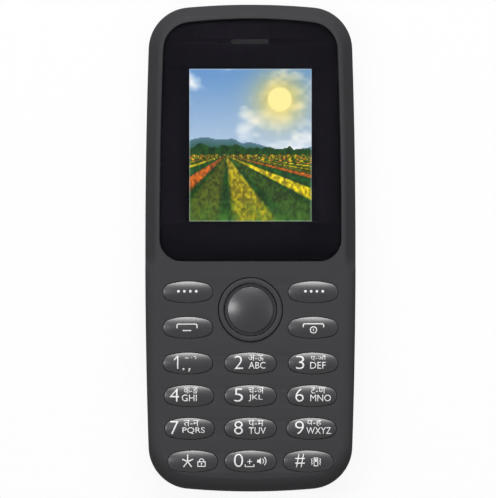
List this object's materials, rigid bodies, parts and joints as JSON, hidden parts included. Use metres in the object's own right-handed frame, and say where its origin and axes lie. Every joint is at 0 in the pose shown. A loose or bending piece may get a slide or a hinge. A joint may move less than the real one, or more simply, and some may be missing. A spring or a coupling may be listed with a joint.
{
  "type": "feature phone",
  "caption": "Candy-bar feature phone with a small colour screen, a round navigation key and a raised number keypad, opened from the back by taking off its battery cover.",
  "frame": {"origin": "under the middle of the phone, on the flat of its back", "axes": "+X to the right-hand side seen from the front, +Y to the earpiece end, +Z out of the screen and keys"},
  "size_m": [0.0484, 0.112, 0.0148],
  "materials": {
    "housing_plastic": "fine-grained dark grey moulding",
    "frame_plastic": "plain black moulding",
    "key_plastic": "smooth dark grey, semi-gloss",
    "lens_plastic": "clear hard-coated lens with a black print behind its rim",
    "clear_plastic": "clear moulding",
    "display_glass": "display glass",
    "silicone": "translucent grey silicone",
    "foam": "black foam",
    "tape": "black double-sided tape",
    "film": "thin translucent film",
    "circuit_board": "green solder mask",
    "chip_black": "black moulding compound",
    "flexible_circuit": "amber film",
    "sheet_steel": "pressed steel",
    "gilt_contact": "gold-plated metal",
    "battery_wrap": "printed film wrap, left plain",
    "light_package": "light-emitting diode package",
    "tungsten": "sintered heavy metal"
  },
  "bodies": {
    "housing": {"front_housing": "housing_plastic", "display_lens": "lens_plastic", "lens_adhesive": "tape", "earpiece_mesh": "sheet_steel", "earpiece_receiver": "chip_black", "display_gasket": "foam", "lcd_panel": "display_glass", "lcd_tray": "frame_plastic", "lcd_flex": "flexible_circuit", "keypad_mat": "silicone", "dome_sheet": "film", "metal_domes": "sheet_steel", "keypad_leds": "light_package", "main_board": "circuit_board", "sim_socket_left": "sheet_steel", "sim_socket_right": "sheet_steel", "memory_card_socket": "sheet_steel", "shield_can": "sheet_steel", "baseband_chip": "chip_black", "contact_block": "frame_plastic", "battery_contacts": "gilt_contact", "rear_frame": "frame_plastic", "housing_screws": "sheet_steel", "headphone_jack": "frame_plastic", "charge_port": "sheet_steel", "microphone": "sheet_steel", "torch_lens": "clear_plastic", "torch_led": "light_package", "camera_module": "chip_black", "camera_window": "clear_plastic", "loudspeaker": "frame_plastic", "speaker_mesh": "sheet_steel", "vibration_motor": "sheet_steel", "antenna_carrier": "frame_plastic", "antenna_strip": "gilt_contact"},
    "softkey_left": {"softkey_left": "key_plastic"},
    "softkey_right": {"softkey_right": "key_plastic"},
    "call_key": {"call_key": "key_plastic"},
    "end_key": {"end_key": "key_plastic"},
    "key_1": {"key_1": "key_plastic"},
    "key_2": {"key_2": "key_plastic"},
    "key_3": {"key_3": "key_plastic"},
    "key_4": {"key_4": "key_plastic"},
    "key_5": {"key_5": "key_plastic"},
    "key_6": {"key_6": "key_plastic"},
    "key_7": {"key_7": "key_plastic"},
    "key_8": {"key_8": "key_plastic"},
    "key_9": {"key_9": "key_plastic"},
    "key_star": {"key_star": "key_plastic"},
    "key_0": {"key_0": "key_plastic"},
    "key_hash": {"key_hash": "key_plastic"},
    "ok_key": {"ok_key": "key_plastic"},
    "nav_carrier": {"nav_carrier": "frame_plastic"},
    "nav_ring": {"nav_ring": "key_plastic"},
    "battery": {"battery": "battery_wrap"},
    "battery_cover": {"battery_cover": "housing_plastic"},
    "vibration_weight": {"vibration_weight": "tungsten"}
  },
  "joints": [
    {"name": "softkey_left_press", "type": "slide", "parent": "housing", "child": "softkey_left", "axis": [0, 0, -1], "range_m": [0, 0.0003], "stiffness_N_per_m": 4000, "springref_m": -0.0001, "deforming": ["keypad_mat"]},
    {"name": "softkey_right_press", "type": "slide", "parent": "housing", "child": "softkey_right", "axis": [0, 0, -1], "range_m": [0, 0.0003], "stiffness_N_per_m": 4000, "springref_m": -0.0001, "deforming": ["keypad_mat"]},
    {"name": "call_key_press", "type": "slide", "parent": "housing", "child": "call_key", "axis": [0, 0, -1], "range_m": [0, 0.0003], "stiffness_N_per_m": 4000, "springref_m": -0.0001, "deforming": ["keypad_mat"]},
    {"name": "end_key_press", "type": "slide", "parent": "housing", "child": "end_key", "axis": [0, 0, -1], "range_m": [0, 0.0003], "stiffness_N_per_m": 4000, "springref_m": -0.0001, "deforming": ["keypad_mat"]},
    {"name": "key_1_press", "type": "slide", "parent": "housing", "child": "key_1", "axis": [0, 0, -1], "range_m": [0, 0.0003], "stiffness_N_per_m": 4000, "springref_m": -0.0001, "deforming": ["keypad_mat"]},
    {"name": "key_2_press", "type": "slide", "parent": "housing", "child": "key_2", "axis": [0, 0, -1], "range_m": [0, 0.0003], "stiffness_N_per_m": 4000, "springref_m": -0.0001, "deforming": ["keypad_mat"]},
    {"name": "key_3_press", "type": "slide", "parent": "housing", "child": "key_3", "axis": [0, 0, -1], "range_m": [0, 0.0003], "stiffness_N_per_m": 4000, "springref_m": -0.0001, "deforming": ["keypad_mat"]},
    {"name": "key_4_press", "type": "slide", "parent": "housing", "child": "key_4", "axis": [0, 0, -1], "range_m": [0, 0.0003], "stiffness_N_per_m": 4000, "springref_m": -0.0001, "deforming": ["keypad_mat"]},
    {"name": "key_5_press", "type": "slide", "parent": "housing", "child": "key_5", "axis": [0, 0, -1], "range_m": [0, 0.0003], "stiffness_N_per_m": 4000, "springref_m": -0.0001, "deforming": ["keypad_mat"]},
    {"name": "key_6_press", "type": "slide", "parent": "housing", "child": "key_6", "axis": [0, 0, -1], "range_m": [0, 0.0003], "stiffness_N_per_m": 4000, "springref_m": -0.0001, "deforming": ["keypad_mat"]},
    {"name": "key_7_press", "type": "slide", "parent": "housing", "child": "key_7", "axis": [0, 0, -1], "range_m": [0, 0.0003], "stiffness_N_per_m": 4000, "springref_m": -0.0001, "deforming": ["keypad_mat"]},
    {"name": "key_8_press", "type": "slide", "parent": "housing", "child": "key_8", "axis": [0, 0, -1], "range_m": [0, 0.0003], "stiffness_N_per_m": 4000, "springref_m": -0.0001, "deforming": ["keypad_mat"]},
    {"name": "key_9_press", "type": "slide", "parent": "housing", "child": "key_9", "axis": [0, 0, -1], "range_m": [0, 0.0003], "stiffness_N_per_m": 4000, "springref_m": -0.0001, "deforming": ["keypad_mat"]},
    {"name": "key_star_press", "type": "slide", "parent": "housing", "child": "key_star", "axis": [0, 0, -1], "range_m": [0, 0.0003], "stiffness_N_per_m": 4000, "springref_m": -0.0001, "deforming": ["keypad_mat"]},
    {"name": "key_0_press", "type": "slide", "parent": "housing", "child": "key_0", "axis": [0, 0, -1], "range_m": [0, 0.0003], "stiffness_N_per_m": 4000, "springref_m": -0.0001, "deforming": ["keypad_mat"]},
    {"name": "key_hash_press", "type": "slide", "parent": "housing", "child": "key_hash", "axis": [0, 0, -1], "range_m": [0, 0.0003], "stiffness_N_per_m": 4000, "springref_m": -0.0001, "deforming": ["keypad_mat"]},
    {"name": "ok_key_press", "type": "slide", "parent": "housing", "child": "ok_key", "axis": [0, 0, -1], "range_m": [0, 0.0003], "stiffness_N_per_m": 4000, "springref_m": -0.0001, "deforming": ["keypad_mat"]},
    {"name": "nav_tilt_sideways", "type": "hinge", "parent": "housing", "child": "nav_carrier", "pos_m": [0, -0.01414, 0.01165], "axis": [0, 1, 0], "range_deg": [-2, 2], "stiffness_Nm_per_rad": 0.3, "deforming": ["keypad_mat"]},
    {"name": "nav_tilt_lengthways", "type": "hinge", "parent": "nav_carrier", "child": "nav_ring", "pos_m": [0, -0.01414, 0.01215], "axis": [1, 0, 0], "range_deg": [-2, 2], "stiffness_Nm_per_rad": 0.3},
    {"name": "battery_lift_out", "type": "slide", "parent": "housing", "child": "battery", "axis": [0, 0, -1], "range_m": [0, 0.008]},
    {"name": "cover_lift_off", "type": "slide", "parent": "housing", "child": "battery_cover", "axis": [0, 0, -1], "range_m": [0, 0.02]},
    {"name": "vibration_spin", "type": "hinge", "parent": "housing", "child": "vibration_weight", "pos_m": [0.0125, 0.04319, 0.0062], "axis": [0, 1, 0], "continuous": true}
  ],
  "couplings": [
    {"joint": "cover_lift_off", "follows": "battery_lift_out", "ratio": 2.5}
  ]
}
